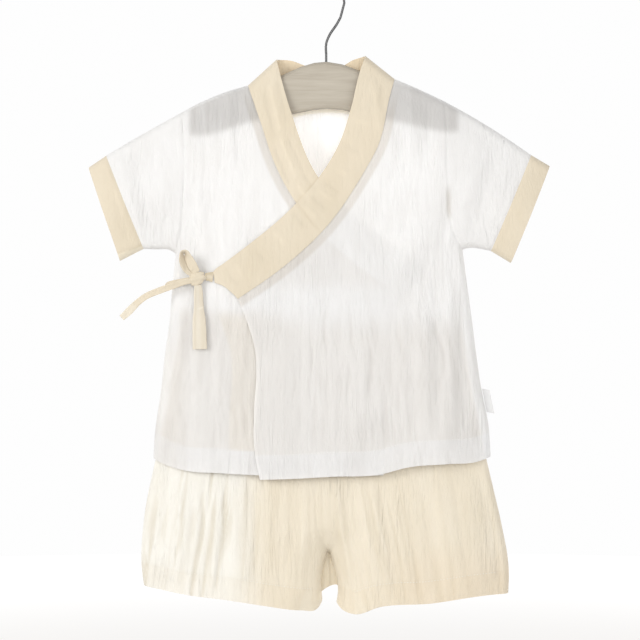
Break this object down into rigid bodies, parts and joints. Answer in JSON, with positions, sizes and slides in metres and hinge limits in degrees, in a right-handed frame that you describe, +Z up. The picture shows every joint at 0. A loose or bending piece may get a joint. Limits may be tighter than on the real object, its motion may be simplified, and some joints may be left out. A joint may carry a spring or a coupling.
{
  "type": "kimono pajama set on a hanger",
  "caption": "Short-sleeved kimono wrap top with a banded crossed neck, banded cuffs and a side tie, with matching shorts hung in its hem, on a wooden hanger.",
  "frame": {"origin": "inside of the crown of the hanger's hook, where a rail carries it", "axes": "+Z up, -Y towards the front of the garment, +X towards the wearer's left"},
  "size_m": [0.4608, 0.0503, 0.6293],
  "materials": {
    "white_gauze": "soft crinkled cotton double gauze, matt, slightly see-through",
    "cream_trim": "soft cream cotton gauze strip, two layers, matt",
    "cream_gauze": "soft crinkled cream cotton double gauze, matt",
    "label_tape": "smooth white woven tape, bare",
    "pale_wood": "pale greyish beech, satin",
    "hook_steel": "dark plated wire"
  },
  "bodies": {
    "root": {"top_back": "white_gauze", "top_front_left": "white_gauze", "top_front_right": "white_gauze", "sleeve_left": "white_gauze", "sleeve_right": "white_gauze", "cuff_left": "cream_trim", "cuff_right": "cream_trim", "neckband": "cream_trim", "tie_front": "cream_trim", "tie_side": "cream_trim", "tie_knot": "cream_trim", "tie_loop": "cream_trim", "tie_tail_side": "cream_trim", "tie_tail_down": "cream_trim", "side_label": "label_tape", "shorts_front_left": "cream_gauze", "shorts_front_right": "cream_gauze", "shorts_back_left": "cream_gauze", "shorts_back_right": "cream_gauze", "shorts_waistband": "cream_gauze", "hanger": "pale_wood", "hanger_hook": "hook_steel"}
  },
  "joints": []
}
